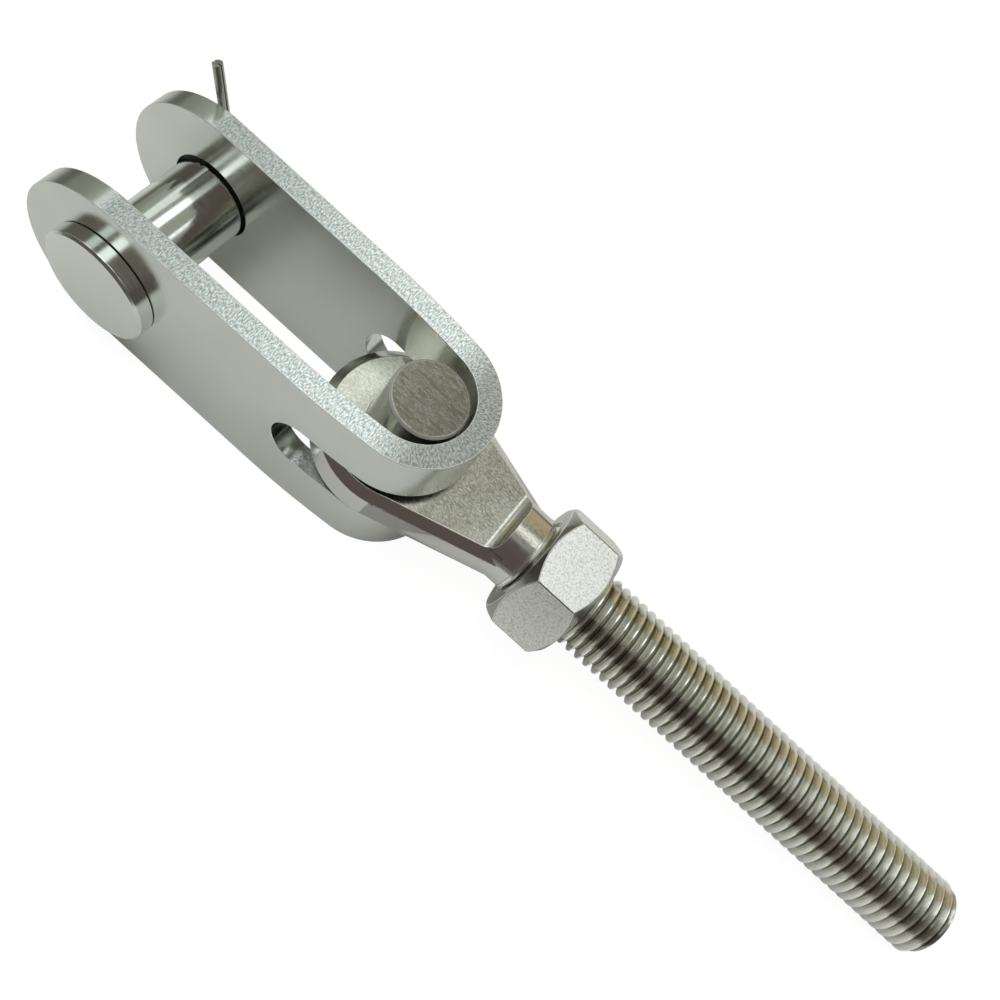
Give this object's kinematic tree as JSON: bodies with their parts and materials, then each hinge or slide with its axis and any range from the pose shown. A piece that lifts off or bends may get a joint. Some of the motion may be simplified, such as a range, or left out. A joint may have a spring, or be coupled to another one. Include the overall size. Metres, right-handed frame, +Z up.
{
  "type": "toggle jaw stud terminal",
  "caption": "Folded strap jaw with a headed clevis pin and split pin, a threaded eye stud swinging on a cross pin in the fold, and a hex lock nut.",
  "frame": {"origin": "on the axis of the clevis holes, midway between the two ears", "axes": "+X along the strap towards the threaded stud, +Y along the clevis holes towards the split pin, +Z up across the strap's width"},
  "size_m": [0.2507, 0.0477, 0.0521],
  "materials": {
    "polished_strap": "polished faces, grainy sheared edges",
    "polished_pin": "bright turned and polished",
    "wire": "satin drawn wire",
    "stud_steel": "satin, with a bright rolled thread",
    "nut_steel": "bright, slightly pitted flats"
  },
  "bodies": {
    "toggle": {"toggle_strap": "polished_strap"},
    "clevis": {"clevis_pin": "polished_pin", "split_pin": "wire"},
    "stud": {"eye_stud": "stud_steel", "cross_pin": "polished_pin"},
    "nut": {"lock_nut": "nut_steel"}
  },
  "joints": [
    {"name": "clevis_turn", "type": "hinge", "parent": "toggle", "child": "clevis", "pos_m": [0, 0, -0.00035], "axis": [0, 1, 0], "continuous": true},
    {"name": "stud_swing", "type": "hinge", "parent": "toggle", "child": "stud", "pos_m": [0.0663, 0, 0], "axis": [0.0791, 0.003, 0.9969], "range_deg": [-92, 88]},
    {"name": "nut_travel", "type": "slide", "parent": "stud", "child": "nut", "axis": [0.9961, 0.0383, -0.0792], "range_m": [-0.001, 0.107]}
  ]
}
